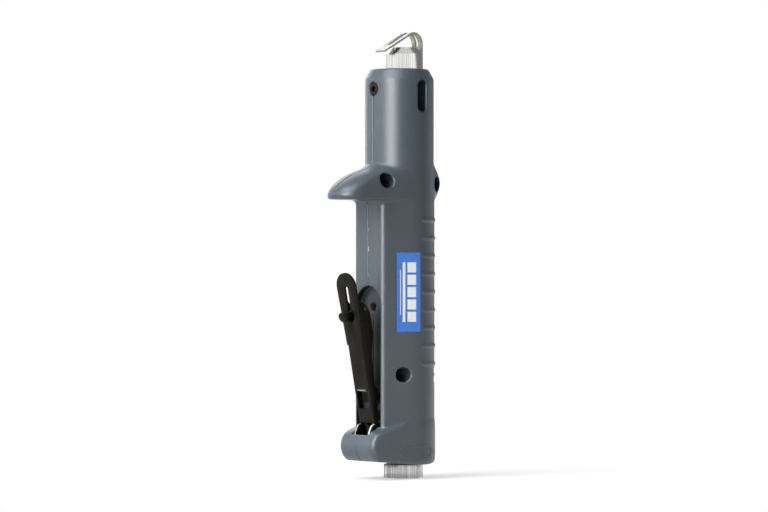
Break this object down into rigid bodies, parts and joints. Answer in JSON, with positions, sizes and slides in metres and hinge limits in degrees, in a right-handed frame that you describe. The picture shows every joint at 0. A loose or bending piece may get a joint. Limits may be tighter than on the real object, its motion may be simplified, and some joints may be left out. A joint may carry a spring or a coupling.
{
  "type": "pneumatic reciprocating saw",
  "caption": "Hand-held air saw with a clamshell grip, hand guard, throttle lever with safety lock, sliding nose and slotted blade guide.",
  "frame": {"origin": "centre of the air inlet's outer end, on the mechanism's axis", "axes": "+Z along the mechanism towards the blade, -Y the lever side, +X the side with the label"},
  "size_m": [0.0392, 0.0711, 0.2403],
  "materials": {
    "housing": "satin moulded composite",
    "dark_steel": "black oxide",
    "label": "gloss printed film",
    "black_oxide": "black oxide sheet steel",
    "bright_steel": "turned",
    "spring_steel": "satin",
    "pin_steel": "ground",
    "aluminium": "machined",
    "bronze": "machined",
    "rubber": "matt"
  },
  "bodies": {
    "housing": {"housing_right": "housing", "housing_left": "housing", "housing_screws": "dark_steel", "guide_screw": "dark_steel", "guide_nut": "spring_steel", "label_plate": "label", "inlet_bushing": "bright_steel", "inlet_screen": "spring_steel", "inlet_seal": "rubber", "valve_body": "aluminium", "valve_bush": "bronze", "valve_spring": "spring_steel", "valve_plug": "bronze", "lever_pin": "pin_steel", "cylinder_cap": "aluminium", "valve_chest": "bright_steel", "cylinder": "bright_steel", "bumper": "rubber", "rod_bushing": "bronze", "rod_seal": "rubber"},
    "throttle": {"throttle_lever": "black_oxide", "lock_pin": "dark_steel", "lock_spring": "spring_steel"},
    "lock": {"lock_lever": "black_oxide"},
    "valve": {"valve_stem": "bright_steel", "valve_seal": "rubber"},
    "shuttle": {"shuttle_valve": "bronze"},
    "reciprocator": {"piston": "aluminium", "piston_ring": "rubber", "piston_rod": "bright_steel", "blade_chuck": "bright_steel", "blade_clamp": "dark_steel", "blade_screws": "dark_steel"},
    "guide": {"guide_sleeve": "bright_steel", "blade_guide": "spring_steel", "guide_rivets": "pin_steel"}
  },
  "joints": [
    {"name": "throttle_hinge", "type": "hinge", "parent": "housing", "child": "throttle", "pos_m": [0, -0.0242, 0.0178], "axis": [-1, 0, 0], "range_deg": [0, 5], "stiffness_Nm_per_rad": 0.6},
    {"name": "lock_hinge", "type": "hinge", "parent": "throttle", "child": "lock", "pos_m": [0, -0.03184, 0.09119], "axis": [-1, 0, 0], "range_deg": [0, 40], "stiffness_Nm_per_rad": 0.03},
    {"name": "valve_slide", "type": "slide", "parent": "housing", "child": "valve", "axis": [0, 1, 0], "range_m": [0, 0.0023], "deforming": ["valve_spring"]},
    {"name": "shuttle_slide", "type": "slide", "parent": "housing", "child": "shuttle", "axis": [0, 0, 1], "range_m": [0, 0.0009]},
    {"name": "piston_slide", "type": "slide", "parent": "housing", "child": "reciprocator", "axis": [0, 0, 1], "range_m": [0, 0.01]},
    {"name": "guide_slide", "type": "slide", "parent": "housing", "child": "guide", "axis": [0, 0, 1], "range_m": [0, 0.008]}
  ],
  "couplings": [
    {"joint": "valve_slide", "follows": "throttle_hinge", "m_per_rad": 0.0262}
  ]
}
